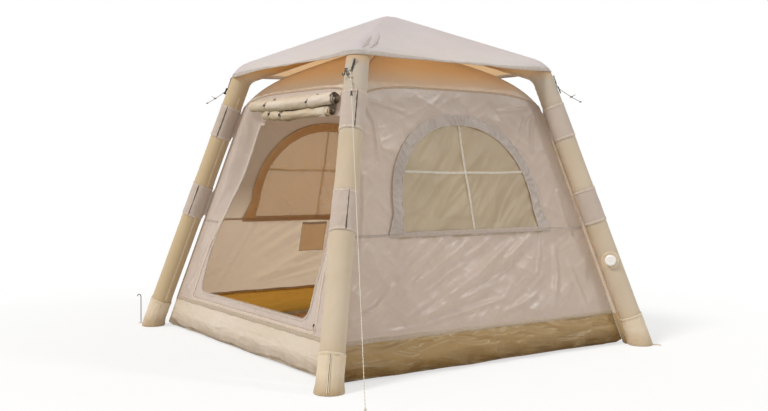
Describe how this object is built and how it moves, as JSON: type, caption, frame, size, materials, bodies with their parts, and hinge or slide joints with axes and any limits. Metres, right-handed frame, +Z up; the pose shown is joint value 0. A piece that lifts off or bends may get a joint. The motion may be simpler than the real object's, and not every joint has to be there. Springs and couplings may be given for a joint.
{
  "type": "inflatable tent",
  "caption": "Square tent on inflated corner beams with a pitched canopy, arched mesh windows, rolled-up zip door, bathtub floor and guy line.",
  "frame": {"origin": "middle of the bathtub floor's underside, on the ground", "axes": "+Z up; the door wall faces -Y and the right-hand window wall faces +X"},
  "size_m": [3.0191, 2.5552, 2.0584],
  "materials": {
    "cream_cloth": "woven sleeve cloth",
    "canopy_cloth": "coated canopy cloth",
    "tent_cloth": "light woven wall cloth",
    "skirt_cloth": "coated groundsheet cloth",
    "band_cloth": "matt woven band",
    "insect_mesh": "fine net",
    "binding": "stitched binding",
    "zip_tape": "woven tape",
    "guy_cord": "braided cord",
    "bladder_film": "welded film",
    "white_plastic": "moulded",
    "black_plastic": "moulded",
    "valve_rubber": "soft",
    "galvanised_steel": "galvanised"
  },
  "bodies": {
    "tent": {"foot_cap_front_right": "cream_cloth", "leg_sleeve_front_right": "cream_cloth", "beam_sleeve_front_right": "cream_cloth", "bladder_front_right": "bladder_film", "corner_hook_front_right": "black_plastic", "band_upper_front_right": "band_cloth", "band_middle_front_right": "band_cloth", "foot_cap_back_right": "cream_cloth", "leg_sleeve_back_right": "cream_cloth", "beam_sleeve_back_right": "cream_cloth", "bladder_back_right": "bladder_film", "corner_hook_back_right": "black_plastic", "band_upper_back_right": "band_cloth", "band_middle_back_right": "band_cloth", "foot_cap_back_left": "cream_cloth", "leg_sleeve_back_left": "cream_cloth", "beam_sleeve_back_left": "cream_cloth", "bladder_back_left": "bladder_film", "corner_hook_back_left": "black_plastic", "band_upper_back_left": "band_cloth", "band_middle_back_left": "band_cloth", "foot_cap_front_left": "cream_cloth", "leg_sleeve_front_left": "cream_cloth", "beam_sleeve_front_left": "cream_cloth", "bladder_front_left": "bladder_film", "corner_hook_front_left": "black_plastic", "band_upper_front_left": "band_cloth", "band_middle_front_left": "band_cloth", "air_hub": "bladder_film", "canopy": "canopy_cloth", "bathtub_floor": "skirt_cloth", "door_wall": "tent_cloth", "right_wall": "tent_cloth", "back_wall": "tent_cloth", "left_wall": "tent_cloth", "inner_roof": "canopy_cloth", "window_mesh_right": "insect_mesh", "window_mesh_back": "insect_mesh", "window_mesh_left": "insect_mesh", "window_trim_right": "binding", "window_trim_back": "binding", "window_trim_left": "binding", "door_zip_track": "zip_tape", "pocket": "tent_cloth", "valve_body": "white_plastic", "guy_line": "guy_cord", "guy_peg": "galvanised_steel", "guy_stub_front_left": "guy_cord", "guy_stub_back_right": "guy_cord"},
    "valve_cap": {"valve_cap": "white_plastic"},
    "valve_plunger": {"valve_plunger": "valve_rubber", "valve_spring": "galvanised_steel"},
    "rolled_door": {"door_roll": "tent_cloth", "mesh_roll": "insect_mesh", "roll_strap_left": "zip_tape", "roll_strap_right": "zip_tape"},
    "door_slider": {"door_zip_slider": "galvanised_steel"},
    "guy_runner": {"guy_runner": "black_plastic"},
    "standing_peg": {"standing_peg": "galvanised_steel"}
  },
  "joints": [
    {"name": "valve_cap_turn", "type": "hinge", "parent": "tent", "child": "valve_cap", "pos_m": [1.00404, 1.00404, 0.53], "axis": [0.7071, -0.7071, 0], "range_deg": [0, 270]},
    {"name": "valve_plunger_push", "type": "slide", "parent": "tent", "child": "valve_plunger", "axis": [-0.7071, 0.7071, 0], "range_m": [0, 0.005], "stiffness_N_per_m": 400, "springref_m": -0.005, "deforming": ["valve_spring"]},
    {"name": "rolled_door_swing", "type": "hinge", "parent": "tent", "child": "rolled_door", "pos_m": [0, -0.67428, 1.522], "axis": [-1, 0, 0], "range_deg": [0, 40]},
    {"name": "door_slider_travel", "type": "slide", "parent": "tent", "child": "door_slider", "axis": [-0.1809, 0.2475, 0.9519], "range_m": [0, 1.15]},
    {"name": "guy_runner_travel", "type": "slide", "parent": "tent", "child": "guy_runner", "axis": [0.4966, -0.2768, -0.8227], "range_m": [0, 1.55]},
    {"name": "standing_peg_lift", "type": "slide", "parent": "tent", "child": "standing_peg", "axis": [0, 0, 1], "range_m": [0, 0.19]}
  ]
}
